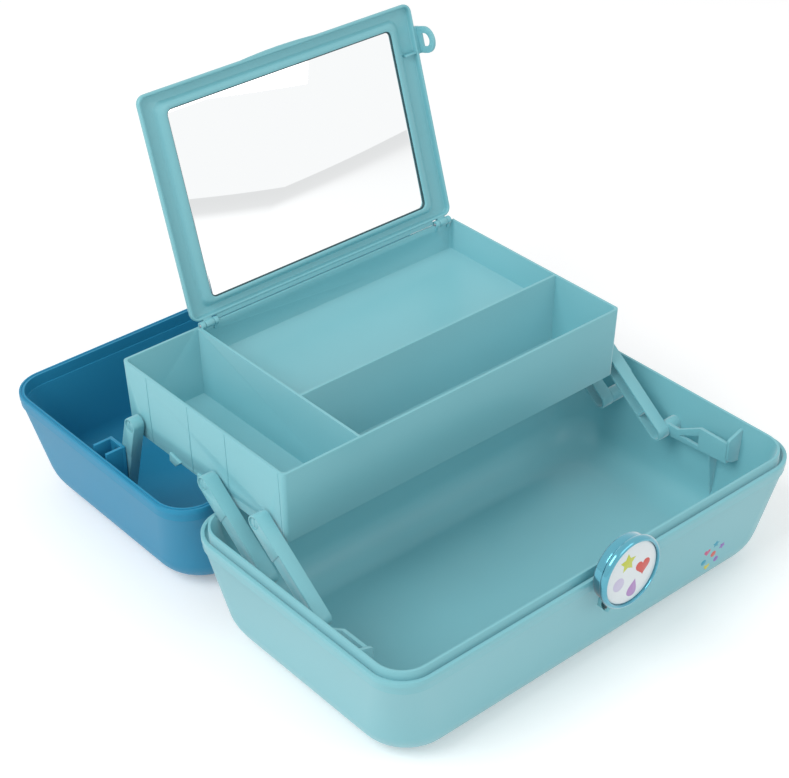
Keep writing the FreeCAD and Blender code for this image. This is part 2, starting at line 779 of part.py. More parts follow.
def tray_ears(tag, place):
    """Two ears beside a knuckle of the mirror lid, and the notch that the knuckle turns in."""
    gap = "mirror_knuckle_length / 2 + mirror_knuckle_gap"
    ears = []
    for way, x in (("in", "%s + %s" % (place, gap)), ("out", "%s - (%s) - mirror_ear" % (place, gap))):
        name = "mirror_ear_%s_%s" % (tag, way)
        ears.append(rod(name, ALONG_X, x, MIRROR_HINGE_Y, MIRROR_HINGE_Z, "mirror_knuckle_radius",
                        "mirror_ear"))
        ears.append(box(name + "_foot", x, MIRROR_HINGE_Y + " - mirror_knuckle_radius / 2",
                        MIRROR_HINGE_Z + " - 2 * mirror_knuckle_radius", "mirror_ear",
                        "mirror_knuckle_radius * 1.4", "2 * mirror_knuckle_radius"))
    notch = box("mirror_notch_" + tag, "%s - (%s)" % (place, gap),
                MIRROR_HINGE_Y + " - 2 * mirror_knuckle_radius",
                MIRROR_HINGE_Z + " - mirror_knuckle_radius - mirror_knuckle_gap", "2 * (%s)" % gap,
                "4 * mirror_knuckle_radius", "2 * mirror_knuckle_radius")
    return ears, notch


def make_tray():
    """The lift-up tray: one deep room at the left, one at the front and a shelf at the back."""
    block = new_body("tray_block")
    loft(block, "tray_walls", [tray_section(block, "tray_foot", "0", "tray_draft"),
                               tray_section(block, "tray_top", "tray_height", "0")])
    hollow = new_body("tray_hollow")
    loft(hollow, "tray_room",
         [tray_section(hollow, "tray_room_floor", "tray_floor", "tray_draft + tray_wall"),
          tray_section(hollow, "tray_room_mouth", "tray_height", "tray_wall")])
    shell = cut("tray_shell", block, [hollow])
    divider_x = "(-tray_width / 2 + divider_place)"
    beyond = divider_x + " + divider_wall"
    right = "tray_width / 2 - (%s)" % divider_x
    walls = fuse("tray_dividers", [
        box("divider", divider_x, "0", "0", "divider_wall", "tray_depth", "tray_height"),
        box("shelf_wall", divider_x, "shelf_front", "0", right, "divider_wall", "tray_height"),
        box("shelf", divider_x, "shelf_front", "shelf_level - divider_wall", right,
            "tray_depth - shelf_front", "divider_wall"),
    ])
    inside = common("tray_inside", block, walls)
    more = []
    gaps = [box("shelf_underside", beyond, "shelf_front + divider_wall", "-1",
                "tray_width / 2 - tray_draft - tray_wall - (%s)" % beyond,
                "tray_depth - tray_draft - tray_wall - shelf_front - divider_wall",
                "shelf_level - divider_wall + 1")]
    for tag, side in SIDES.items():
        for name, place, thick in tray_pin_places():
            more.append(side_rod("%s_tray_boss_%s" % (name, tag), side, "tray_width / 2 - tray_draft - 1",
                                 "arm_near + %s - arm_web - side_gap" % thick, place,
                                 "tray_pivot_rise", "tray_boss_radius"))
            gaps.append(side_rod("%s_tray_bore_%s" % (name, tag), side, "arm_near + side_gap",
                                 "arm_near + %s" % thick, place, "tray_pivot_rise",
                                 "split_pin_radius"))
    for tag, place in mirror_hinge_places():
        ears, notch = tray_ears(tag, place)
        more += ears
        gaps.append(notch)
        gaps.append(rod("mirror_pin_bore_" + tag, ALONG_X, place + " - 2 * mirror_knuckle_length",
                        MIRROR_HINGE_Y, MIRROR_HINGE_Z, "mirror_pin_radius",
                        "4 * mirror_knuckle_length"))
    more.append(side_rod("peg", 1, "tray_width / 2 - tray_wall / 2", "tray_width / 2 + peg_proud",
                         MIRROR_HINGE_Y + " - loop_place", MIRROR_HINGE_Z + " - loop_drop",
                         "peg_radius"))
    more.append(side_box("nub", -1, "tray_width / 2 - tray_draft - tray_wall / 2",
                         "tray_width / 2 - tray_draft + nub_proud", "nub_place", "0", "nub_length",
                         "nub_length / 2"))
    whole = fuse("tray_moulding", [shell, inside] + more)
    notched = cut("tray", whole, gaps)
    notched.Placement = Placement(tray_corner_place(), Rotation())
    return notched


# --- Mirror lid ------------------------------------------------------------------------

def mirror_placement():
    """Hinge line on the tray's rear edge. Local Y runs up the lid, local Z out of the glass."""
    place = tray_corner_place()
    place += Vector(0, size("tray_depth") - size("mirror_hinge_inset"), 0)
    place += Vector(0, 0, size("tray_height") + size("mirror_hinge_rise"))
    return Placement(place, Rotation(Vector(1, 0, 0), size("mirror_lean")))


def make_mirror_frame():
    """The plastic lid that frames the glass, with a thumb edge and a loop for the peg."""
    body = new_body("mirror_panel")
    middle_x = MIRROR_RIGHT + " - mirror_width / 2"
    middle_y = "mirror_start + mirror_length / 2"
    outline = new_sketch(body, "mirror_outline", "-mirror_thick", middle_x, middle_y)
    round_rectangle(outline, "mirror_width / 2", "mirror_length / 2", "mirror_corner")
    panel = extrude(body, "Pad", "mirror_plate", outline, "mirror_thick")
    round_level(body, "mirror_edges", panel, -size("mirror_thick"), "mirror_edge_round")
    seat = new_sketch(body, "glass_outline", "0", middle_x + " + glass_shift",
                      "glass_start + glass_length / 2")
    round_rectangle(seat, "glass_width / 2", "glass_length / 2", "glass_corner")
    extrude(body, "Pocket", "glass_seat", seat, "glass_depth")
    end = "mirror_start + mirror_length"
    bend = "(thumb_width ^ 2 / (8 * thumb_rise) + thumb_rise / 2)"
    thumb = common("thumb", rod("thumb_arc", ALONG_Z, middle_x, "%s + thumb_rise - %s" % (end, bend),
                                "-thumb_thick", bend, "thumb_thick"),
                   box("thumb_box", middle_x + " - thumb_width / 2", end + " - 1", "-mirror_thick",
                       "thumb_width", "thumb_rise + 2", "mirror_thick"))
    items = [body, thumb]
    gaps = []
    for tag, place in mirror_hinge_places():
        left = place + " - mirror_knuckle_length / 2"
        items.append(rod("mirror_knuckle_" + tag, ALONG_X, left, "0", "0", "mirror_knuckle_radius",
                         "mirror_knuckle_length"))
        items.append(box("mirror_knuckle_web_" + tag, left, "0", "-mirror_knuckle_radius",
                         "mirror_knuckle_length", "mirror_start + 1", "mirror_knuckle_radius"))
        gaps.append(rod("mirror_knuckle_bore_" + tag, ALONG_X, left + " - 1", "0", "0",
                        "mirror_pin_radius + pin_play", "mirror_knuckle_length + 2"))
    near = "tray_width / 2 + peg_proud + side_gap"
    low = "loop_place - loop_radius"
    items.append(box("loop_tab", MIRROR_RIGHT + " - 1", low, "-mirror_thick * 0.8",
                     "%s + loop_wall - (%s - 1)" % (near, MIRROR_RIGHT), "2 * loop_radius",
                     "mirror_thick * 0.8"))
    items.append(box("loop_flap", near, low, "-mirror_thick * 0.8", "loop_wall", "2 * loop_radius",
                     "loop_drop + mirror_thick * 0.8"))
    items.append(side_rod("loop_round", 1, near, near + " + loop_wall", "loop_place", "loop_drop",
                          "loop_radius"))
    gaps.append(side_rod("loop_hole_round", 1, near + " - 1", near + " + loop_wall + 1",
                         "loop_place", "loop_drop", "loop_hole"))
    gaps.append(side_box("loop_hole_top", 1, near + " - 1", near + " + loop_wall + 1",
                         "loop_place - loop_hole", "loop_drop / 2", "2 * loop_hole", "loop_drop / 2"))
    frame = cut("mirror_frame", fuse("mirror_moulding", items), gaps)
    frame.Placement = mirror_placement()
    return frame


def make_mirror_glass():
    """The mirror, glued on the floor of its seat."""
    body = new_body("mirror_glass")
    outline = new_sketch(body, "mirror_glass_outline", "-glass_depth",
                         MIRROR_RIGHT + " - mirror_width / 2 + glass_shift",
                         "glass_start + glass_length / 2")
    round_rectangle(outline, "glass_width / 2 - glass_play", "glass_length / 2 - glass_play",
                    "glass_corner - glass_play")
    extrude(body, "Pad", "mirror_glass_plate", outline, "glass_thick")
    body.Placement = mirror_placement()
    return body


def make_mirror_pins():
    """A short pin through each knuckle of the mirror lid."""
    length = "mirror_knuckle_length + 2 * mirror_knuckle_gap + 2 * mirror_ear"
    pins = []
    for tag, place in mirror_hinge_places():
        pins.append(rod("mirror_pin_" + tag, ALONG_X, "%s - (%s) / 2" % (place, length), "0", "0",
                        "mirror_pin_radius", length))
    pins = group("mirror_hinge_pins", pins)
    pins.Placement = mirror_placement()
    return pins


# --- Case hinge pins, latch and handle -------------------------------------------------

def make_case_pins():
    """A steel pin through each hinge of the case."""
    length = "3 * knuckle_length + 2 * knuckle_gap"
    pins = []
    for tag, place in hinge_places():
        pins.append(rod("case_pin_" + tag, ALONG_X, "%s - (%s) / 2" % (place, length), HINGE_Y,
                        HINGE_Z, "case_pin_radius", length))
    return group("case_hinge_pins", pins)


def make_latch():
    """A round snap latch: a drum on a neck, a bezel on the drum and a face inside the bezel."""
    back = "(-case_depth / 2 - latch_gap)"
    front = "(%s - drum_depth)" % back
    drum = rod("drum_disc", ALONG_Y, "0", front, "latch_level", "drum_radius", "drum_depth")
    neck = box("latch_neck", "-neck_width / 2", back + " - neck_thick", "latch_pivot_level",
               "neck_width", "neck_thick", "latch_level - drum_radius - latch_pivot_level + 4")
    barrel = rod("latch_barrel", ALONG_X, "-neck_width / 2", LATCH_Y, "latch_pivot_level",
                 "latch_knuckle", "neck_width")
    bore = rod("latch_bore", ALONG_X, "-neck_width", LATCH_Y, "latch_pivot_level",
               "latch_pin_radius + pin_play", "2 * neck_width")
    latch_drum = cut("latch_drum", fuse("drum_moulding", [drum, neck, barrel]), [bore])
    ring = rod("bezel_disc", ALONG_Y, "0", front + " - bezel_depth", "latch_level", "bezel_radius",
               "bezel_depth")
    opening = rod("bezel_opening", ALONG_Y, "0", front + " - bezel_depth - 1", "latch_level",
                  "bezel_radius - bezel_wall", "bezel_depth + 2")
    latch_bezel = cut("latch_bezel", ring, [opening])
    latch_face = rod("latch_face", ALONG_Y, "0", front + " - face_depth", "latch_level",
                     "bezel_radius - bezel_wall - face_play", "face_depth")
    pin_half = "neck_width / 2 + lug_gap + lug_wall"
    latch_pin = rod("latch_pin", ALONG_X, "-(%s)" % pin_half, LATCH_Y, "latch_pivot_level",
                    "latch_pin_radius", "2 * (%s)" % pin_half)
    return [latch_drum, latch_bezel, latch_face, latch_pin]


def make_handle():
    """A swing handle: a grip between two arms, folded flat. Its pivot is its own X axis."""
    half = "handle_width / 2"
    bottom = "-handle_thick / 2"
    bars = [box("handle_bar", "-" + half, "-handle_reach", bottom, "handle_width", "handle_grip",
                "handle_thick")]
    for tag, side in SIDES.items():
        near = half + " - handle_arm"
        bars.append(side_box("handle_arm_" + tag, side, near, half, "-handle_reach", bottom,
                             "handle_reach", "handle_thick"))
        bars.append(side_rod("handle_eye_" + tag, side, near, half, "0", "0", "handle_thick / 2"))
    bore = rod("handle_bore", ALONG_X, "-handle_width", "0", "0", "handle_pin_radius + pin_play",
               "2 * handle_width")
    handle = cut("handle", fuse("handle_moulding", bars), [bore])
    handle.Placement = handle_placement()
    return handle


def handle_placement():
    return Placement(Vector(0, lid_shift() + size("handle_pivot"), size("recess_depth") / 2), Rotation())


def make_handle_pins():
    """A short pin at each end of the handle, pressed into the wall of the recess."""
    pins = []
    for tag, side in SIDES.items():
        pins.append(side_rod("handle_pin_" + tag, side, "handle_width / 2 - handle_arm * 0.8",
                             "handle_width / 2 + handle_clear + recess_wall", "0", "0",
                             "handle_pin_radius"))
    pins = group("handle_pins", pins)
    pins.Placement = handle_placement()
    return pins


# --- Build, check and write ------------------------------------------------------------

def check(parts):
    """Stop if any feature failed, or any piece is empty or not valid."""
    for item in doc.Objects:
        if "Invalid" in item.State or "Error" in item.State:
            raise RuntimeError("%s failed: %s" % (item.Label, item.State))
        if item.TypeId.startswith("Part::") and not item.Shape.isValid():
            raise RuntimeError("%s is not a valid shape" % item.Label)
    for item in parts:
        if item.Shape.isNull() or not item.Shape.isValid():
            raise RuntimeError("%s has no valid shape" % item.Label)


parts = [make_base_tub(), make_lid_tub(), make_tray(), make_mirror_frame(), make_mirror_glass()]
parts += [make_base_pins(), make_tray_pins(), make_mirror_pins(), make_case_pins()]
parts += make_lid_arm_pins() + make_arms() + make_latch()
parts += [make_handle(), make_handle_pins()]
doc.recompute()
check(parts)
os.makedirs("parts", exist_ok=True)
for part in parts:
    part.Label = part.Name
    part.Shape.exportStep("parts/%s.step" % part.Label)
    print("%-20s %8.1f mm3, %d solids" % (part.Label, part.Shape.Volume, len(part.Shape.Solids)))
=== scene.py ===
import math

import bmesh
import bpy
from mathutils import Matrix, Vector
from mathutils.geometry import tessellate_polygon


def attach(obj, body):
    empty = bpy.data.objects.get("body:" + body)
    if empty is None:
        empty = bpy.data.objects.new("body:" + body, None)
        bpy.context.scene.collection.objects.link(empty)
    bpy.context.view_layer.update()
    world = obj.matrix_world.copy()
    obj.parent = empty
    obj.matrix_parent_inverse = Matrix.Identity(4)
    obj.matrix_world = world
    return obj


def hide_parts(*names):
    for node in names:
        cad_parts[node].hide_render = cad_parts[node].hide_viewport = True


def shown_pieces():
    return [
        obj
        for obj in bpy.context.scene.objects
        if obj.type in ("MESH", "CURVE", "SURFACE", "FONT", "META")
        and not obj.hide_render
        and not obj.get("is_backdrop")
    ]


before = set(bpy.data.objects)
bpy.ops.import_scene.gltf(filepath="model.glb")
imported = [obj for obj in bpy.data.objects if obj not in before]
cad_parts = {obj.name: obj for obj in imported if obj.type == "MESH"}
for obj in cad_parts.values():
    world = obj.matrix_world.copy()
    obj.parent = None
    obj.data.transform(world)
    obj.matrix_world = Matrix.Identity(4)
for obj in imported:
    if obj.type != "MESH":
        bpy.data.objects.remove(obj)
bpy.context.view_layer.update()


# ---------------------------------------------------------------------------
# Bottom tub. Injection-moulded satin plastic: a deep tray with drafted walls, a two-step lip,
# a groove and a thin collar that the lid closes over, and arm brackets moulded on its side walls.
# ---------------------------------------------------------------------------

TEAL_LIGHT = (0.236, 0.562, 0.622, 1)
TEAL_DEEP = (0.208, 0.528, 0.586, 1)
FLOW_SCALE = 14.0
GRAIN_SCALE = 900.0
GRAIN_HEIGHT = 0.0002
MILLIMETRE = 0.001
MOULD_EDGE = 0.00035
LIP_EDGE = 0.00028
CREASE_ANGLE = math.radians(32)
WELD_REACH = 0.000004
FLAT_ANGLE = math.radians(0.6)


def add_node(tree, kind, **inputs):
    """A shader or geometry node with its sockets set."""
    node = tree.nodes.new(kind)
    for name, value in inputs.items():
        node.inputs[name.replace("_", " ")].default_value = value
    return node


def moulded_plastic(name, light, deep, gloss, bump=0.06, clear=0.3, shine=0.5, metal=0.0):
    """Coloured through the plastic, with faint flow marks and a fine mould grain."""
    material = bpy.data.materials.new(name)
    material.use_nodes = True
    tree = material.node_tree
    shader = tree.nodes["Principled BSDF"]
    place = tree.nodes.new("ShaderNodeTexCoord")
    flow = add_node(tree, "ShaderNodeTexNoise", Scale=FLOW_SCALE, Detail=3.0, Roughness=0.5)
    tint = tree.nodes.new("ShaderNodeMix")
    tint.data_type = "RGBA"
    tint.inputs[6].default_value = deep
    tint.inputs[7].default_value = light
    fine = add_node(tree, "ShaderNodeTexNoise", Scale=GRAIN_SCALE, Detail=2.0)
    polish = tree.nodes.new("ShaderNodeMapRange")
    polish.inputs["To Min"].default_value = gloss - 0.04
    polish.inputs["To Max"].default_value = gloss + 0.05
    raise_grain = add_node(tree, "ShaderNodeBump", Strength=bump, Distance=GRAIN_HEIGHT)
    for start, end in (
        (place.outputs["Object"], flow.inputs["Vector"]),
        (place.outputs["Object"], fine.inputs["Vector"]),
        (flow.outputs["Fac"], tint.inputs[0]),
        (tint.outputs[2], shader.inputs["Base Color"]),
        (flow.outputs["Fac"], polish.inputs["Value"]),
        (polish.outputs["Result"], shader.inputs["Roughness"]),
        (fine.outputs["Fac"], raise_grain.inputs["Height"]),
        (raise_grain.outputs["Normal"], shader.inputs["Normal"]),
    ):
        tree.links.new(start, end)
    shader.inputs["Coat Weight"].default_value = clear
    shader.inputs["Coat Roughness"].default_value = 0.12
    shader.inputs["Specular IOR Level"].default_value = shine
    shader.inputs["Metallic"].default_value = metal
    return material


def crease_group():
    """Shades faces smooth and keeps the edges sharper than the crease angle."""
    group = bpy.data.node_groups.new("crease", "GeometryNodeTree")
    group.interface.new_socket("Geometry", in_out="INPUT", socket_type="NodeSocketGeometry")
    group.interface.new_socket("Geometry", in_out="OUTPUT", socket_type="NodeSocketGeometry")
    enter = group.nodes.new("NodeGroupInput")
    leave = group.nodes.new("NodeGroupOutput")
    faces = group.nodes.new("GeometryNodeSetShadeSmooth")
    edges = group.nodes.new("GeometryNodeSetShadeSmooth")
    edges.domain = "EDGE"
    edges.inputs["Shade Smooth"].default_value = False
    angle = group.nodes.new("GeometryNodeInputMeshEdgeAngle")
    sharp = group.nodes.new("FunctionNodeCompare")
    sharp.data_type = "FLOAT"
    sharp.operation = "GREATER_THAN"
    sharp.inputs["B"].default_value = CREASE_ANGLE
    group.links.new(enter.outputs[0], faces.inputs["Geometry"])
    group.links.new(faces.outputs[0], edges.inputs["Geometry"])
    group.links.new(angle.outputs["Unsigned Angle"], sharp.inputs["A"])
    group.links.new(sharp.outputs["Result"], edges.inputs["Selection"])
    group.links.new(edges.outputs[0], leave.inputs[0])
    return group


CREASE = crease_group()


def round_edges(piece, edge, segments=2):
    """Rounds the edges sharper than the crease angle and shades the rest smooth."""
    bevel = piece.modifiers.new("edge", "BEVEL")
    bevel.width = edge
    bevel.segments = segments
    bevel.limit_method = "ANGLE"
    bevel.angle_limit = CREASE_ANGLE
    bevel.use_clamp_overlap = False
    crease = piece.modifiers.new("crease", "NODES")
    crease.node_group = CREASE


def soften(piece, edge=MOULD_EDGE):
    """Joins split corners and clears flat seams before the edges are rounded."""
    normals = piece.data.attributes.get("custom_normal")
    if normals:
        piece.data.attributes.remove(normals)
    weld = piece.modifiers.new("weld", "WELD")
    weld.merge_threshold = WELD_REACH
    flat = piece.modifiers.new("flat", "DECIMATE")
    flat.decimate_type = "DISSOLVE"
    flat.angle_limit = FLAT_ANGLE
    round_edges(piece, edge)


def finish_node(name, material, edge=MOULD_EDGE):
    """Gives a node of the frame its material and its rounded edges."""
    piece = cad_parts[name]
    piece.data.materials.clear()
    piece.data.materials.append(material)
    soften(piece, edge)


def rounded_ring(x0, x1, y0, y1, radius, z, steps=10):
    """Points round a rectangle with rounded corners, at one level."""
    points = []
    corners = (
        (x1 - radius, y1 - radius, 0), (x0 + radius, y1 - radius, 90),
        (x0 + radius, y0 + radius, 180), (x1 - radius, y0 + radius, 270),
    )
    for corner_x, corner_y, first in corners:
        for i in range(steps + 1):
            angle = math.radians(first + 90 * i / steps)
            points.append((
                corner_x + radius * math.cos(angle), corner_y + radius * math.sin(angle), z))
    return points


def add_skin(bm, rings, closed=False):
    """Joins rings of equal count with quads. Its ends are capped, or joined to each other."""
    rows = [[bm.verts.new(point) for point in ring] for ring in rings]
    pairs = list(zip(rows, rows[1:]))
    if closed:
        pairs.append((rows[-1], rows[0]))
    for near, far in pairs:
        for i in range(len(near)):
            j = (i + 1) % len(near)
            bm.faces.new((near[i], near[j], far[j], far[i]))
    if not closed:
        bm.faces.new(rows[0])
        bm.faces.new(rows[-1])


def at(axis, a, b, along):
    """A point from two places across the axis and one along it."""
    return {"X": (along, a, b), "Y": (a, along, b), "Z": (a, b, along)}[axis]


def add_plate(bm, axis, outline, low, high, holes=()):
    """A flat plate of any outline, with holes, from low to high along its axis."""
    loops = [outline, *holes]
    flat = [[Vector((a, b, 0)) for a, b in loop] for loop in loops]
    ends = [
        [bm.verts.new(at(axis, point.x, point.y, along)) for loop in flat for point in loop]
        for along in (low, high)
    ]
    for corners in tessellate_polygon(flat):
        for end in ends:
            bm.faces.new([end[i] for i in corners])
    first = 0
    for loop in loops:
        for i in range(len(loop)):
            j = (i + 1) % len(loop)
            bm.faces.new((
                ends[0][first + i], ends[0][first + j], ends[1][first + j], ends[1][first + i]))
        first += len(loop)


def circle(a, b, radius, count=32, first=0.0, span=360.0):
    """Points on a circle, or on an arc of it."""
    steps = count if span >= 360 else count - 1
    return [
        (a + radius * math.cos(math.radians(first + span * i / steps)),
         b + radius * math.sin(math.radians(first + span * i / steps)))
        for i in range(count)
    ]


def add_block(bm, x0, x1, y0, y1, z0, z1):
    """A block between two corners."""
    add_plate(bm, "Z", [(x0, y0), (x1, y0), (x1, y1), (x0, y1)], z0, z1)


def make_piece(name, bm, material, body, edge=MOULD_EDGE, place=None, clean=True):
    """Turns millimetre shells into a named piece that rides on its body."""
    bmesh.ops.recalc_face_normals(bm, faces=bm.faces)
    mesh = bpy.data.meshes.new(name)
    bm.to_mesh(mesh)
    bm.free()
    if place is not None:
        mesh.transform(place)
    mesh.transform(Matrix.Scale(MILLIMETRE, 4))
    mesh.materials.append(material)
    piece = bpy.data.objects.new(name, mesh)
    bpy.context.scene.collection.objects.link(piece)
    if clean:
        soften(piece, edge)
    else:
        round_edges(piece, edge)
    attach(piece, body)
    return piece


def wall_rows(foot, neck, radii, low, top, bend, steps=10):
    """Rows of (level, side inset, front inset, corner radius) up a drafted wall from its bend."""
    rise = top - low
    slopes = [(a - b) / rise for a, b in zip(foot, neck)]
    last = math.atan(slopes[0])
    rows = []
    for i in range(steps + 1):
        angle = math.pi / 2 + (last - math.pi / 2) * i / steps
        level = bend * (1 - math.sin(angle))
        grow = [bend * (math.sqrt(1 + t * t) - t - math.cos(angle)) for t in slopes]
        radius = radii[0] + (radii[1] - radii[0]) * level / rise - grow[0] - level * slopes[0]
        rows.append((low + level, foot[0] + grow[0], foot[1] + grow[1], radius))
    rows.append((top, neck[0], neck[1], radii[1]))
    return rows


HALF_WIDTH = 165.0
HALF_DEPTH = 96.0
LIP_RADIUS = 24.0


def tub_rings(rows, middle_y):
    """The rows as rings round a tub that stands at this place from front to back."""
    return [
        rounded_ring(
            side - HALF_WIDTH, HALF_WIDTH - side,
            middle_y - HALF_DEPTH + front, middle_y + HALF_DEPTH - front, radius, level)
        for level, side, front, radius in rows
    ]


def lip_rows(*steps):
    """Rows that stand in from the lip by the same amount all round."""
    return [(level, inset, inset, LIP_RADIUS - inset) for level, inset in steps]


def carve(piece, blocks):
    """Cuts blocks, given by their corners in millimetres, out of a piece."""
    for number, corners in enumerate(blocks):
        bm = bmesh.new()
        add_block(bm, *corners)
        bmesh.ops.recalc_face_normals(bm, faces=bm.faces)
        mesh = bpy.data.meshes.new("cutter")
        bm.to_mesh(mesh)
        bm.free()
        mesh.transform(Matrix.Scale(MILLIMETRE, 4))
        cutter = bpy.data.objects.new("cutter", mesh)
        bpy.context.scene.collection.objects.link(cutter)
        cut = piece.modifiers.new("cut%d" % number, "BOOLEAN")
        cut.operation = "DIFFERENCE"
        cut.solver = "EXACT"
        cut.object = cutter
        piece.modifiers.move(len(piece.modifiers) - 1, 0)
        bpy.context.view_layer.update()
        state = [(m, m.show_viewport) for m in piece.modifiers if m != cut]
        for other, _ in state:
            other.show_viewport = False
        bpy.context.view_layer.update()
        seen = piece.evaluated_get(bpy.context.evaluated_depsgraph_get())
        piece.data = bpy.data.meshes.new_from_object(seen)
        for other, shown in state:
            other.show_viewport = shown
        piece.modifiers.remove(cut)
        bpy.data.objects.remove(cutter)


case_plastic = moulded_plastic("case_plastic", TEAL_LIGHT, TEAL_DEEP, 0.34, clear=0.1, shine=0.4)
FLOOR_TOP = 2.4
WALL_TOP = 67.5
STEP_TOP = 71.9
LIP_TOP = 76.0
GROOVE_FLOOR = 72.5
COLLAR_TOP = 80.3
OUTER_RADII = (34.0, 22.6)
OUTER_BEND = 26.0
INNER_BEND = 24.0
NOTCH = (134, 148, 88.6, 93.2, 76, 82)
FRONT_PIVOT = (-0.2, 54.0)
MIDDLE_PIVOT = (49.7, 54.0)
BOSS_RADIUS = 5.0
BRACKET_NEAR = 145.9
BRACKET_FAR = 148.4
WALL_REACH = 158.5
HINGE_LINE = (99.9, 76.2)
HINGE_PLACES = (-95.0, 95.0)
HINGE_RADIUS = 3.6
LATCH_LINE = (-98.5, 53.0)


def make_base_shell():
    """Wall, two-step lip, groove and collar, in one skin."""
    outer = wall_rows((10.9, 10.9), (1.4, 1.4), OUTER_RADII, 0.0, WALL_TOP, OUTER_BEND)
    lip = lip_rows(
        (WALL_TOP, 0.6), (STEP_TOP, 0.6), (STEP_TOP, 0.0), (LIP_TOP, 0.0), (LIP_TOP, 2.4),
        (GROOVE_FLOOR, 2.4), (GROOVE_FLOOR, 4.5), (COLLAR_TOP, 4.5))
    inner = wall_rows((13.4, 13.4), (6.2, 6.2), (30.0, 17.8), FLOOR_TOP, COLLAR_TOP, INNER_BEND)
    bm = bmesh.new()
    add_skin(bm, tub_rings(outer + lip + inner[::-1], 0.0))
    shell = make_piece("base_shell", bm, case_plastic, "base", edge=LIP_EDGE,
                       clean=False)
    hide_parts("base_tub")
    near, far, *rest = NOTCH
    carve(shell, [(-far, -near, *rest), NOTCH])


def make_base_brackets():
    """Arm bosses, and the plate, fin and rib at each side wall."""
    bm = bmesh.new()
    y, z = FRONT_PIVOT
    outline = [(y, z - 4), (y, z + 4.6), (y - 11, z + 4.6), (y - 29, z + 14.8), (y - 52, z + 14.8),
               (y - 52, z)]
    hole = [(y - 28.6, z + 0.8), (y - 28.6, z + 9), (y - 12.4, z + 0.8)]
    for side in (-1, 1):
        for pivot in (FRONT_PIVOT, MIDDLE_PIVOT):
            add_plate(bm, "X", circle(*pivot, BOSS_RADIUS), side * 145.3, side * WALL_REACH)
        add_plate(bm, "X", outline, side * BRACKET_NEAR, side * BRACKET_FAR, [hole])
        fin = [(side * x, level) for x, level in (
            (BRACKET_NEAR, 57.0), (BRACKET_NEAR, 70.0), (146.3, 71.2), (147.4, 71.9),
            (WALL_REACH, 75.6), (WALL_REACH, 52.0), (149.0, 54.0))]
        add_plate(bm, "Y", fin, y - 53.4, y - 51.2)
        rib = [(side * x, level) for x, level in
               ((146.6, 57.5), (WALL_REACH, 57.5), (154.5, 18.0), (152.4, 17.0))]
        add_plate(bm, "Y", rib, y - 37.6, y - 36.4)
    make_piece("base_brackets", bm, case_plastic, "base", edge=0.0003)


def make_base_knuckles():
    """Barrels of the case hinge behind the lip, and the latch's two lugs on the front."""
    bm = bmesh.new()
    for middle in HINGE_PLACES:
        for low, high in ((7.4, 21.4), (-21.4, -7.4)):
            add_plate(bm, "X", circle(*HINGE_LINE, HINGE_RADIUS), middle + low, middle + high)
            add_block(bm, middle + low, middle + high, 95.2, 99.9, 72.6, 76.1)
    for side in (-1, 1):
        add_plate(bm, "X", circle(*LATCH_LINE, 3.4), side * 7.2, side * 10.2)
        add_plate(bm, "X", [(-98.5, 50.0), (-91.5, 50.0), (-91.5, 56.2), (-98.5, 56.2)],
                  side * 7.2, side * 10.2)
    make_piece("base_knuckles", bm, case_plastic, "base", edge=0.0002)


make_base_shell()
make_base_brackets()
make_base_knuckles()


# ---------------------------------------------------------------------------
# Printed sprinkle on the base's front, near its right end. Small flat shapes in five colours,
# pad-printed on the leaning wall as thin films of ink.
# ---------------------------------------------------------------------------

PRINT_PLACE = (95.0, -89.32, 30.0)
WALL_LEAN = math.atan(9.5 / WALL_TOP)
INK_EDGE = 0.00001
PRINT_COLOURS = {
    "rose": (0.62, 0.11, 0.25, 1),
    "sea": (0.03, 0.36, 0.52, 1),
    "violet": (0.30, 0.16, 0.52, 1),
    "sun": (0.72, 0.66, 0.10, 1),
    "coral": (0.72, 0.14, 0.12, 1),
}


def ink(name, colour, gloss=0.35):
    """Printed ink, a little uneven."""
    deep = tuple(c * 0.9 for c in colour[:3]) + (1,)
    return moulded_plastic(name, colour, deep, gloss, bump=0.01, clear=0.0)


def star(a, b, radius, turn=90.0, points=5):
    """A soft five-pointed star."""
    outline = []
    for i in range(2 * points):
        reach = radius if i % 2 == 0 else radius * 0.52
        angle = math.radians(turn + 180.0 * i / points)
        outline.append((a + reach * math.cos(angle), b + reach * math.sin(angle)))
    return outline


def heart(a, b, size):
    """A heart, from its usual curve."""
    outline = []
    for i in range(40):
        t = 2 * math.pi * i / 40
        across = 16 * math.sin(t) ** 3
        up = 13 * math.cos(t) - 5 * math.cos(2 * t) - 2 * math.cos(3 * t) - math.cos(4 * t)
        outline.append((a + across * size / 32, b + up * size / 32))
    return outline


def drop(a, b, radius, turn):
    """A drop with its tip at the turn angle."""
    outline = []
    for i in range(36):
        t = 2 * math.pi * i / 36
        along = -math.cos(t) * radius
        across = math.sin(t) * math.sin(t / 2) ** 1.5 * radius * 0.95
        angle = math.radians(turn)
        outline.append((
            a - along * math.cos(angle) - across * math.sin(angle),
            b - along * math.sin(angle) + across * math.cos(angle)))
    return outline


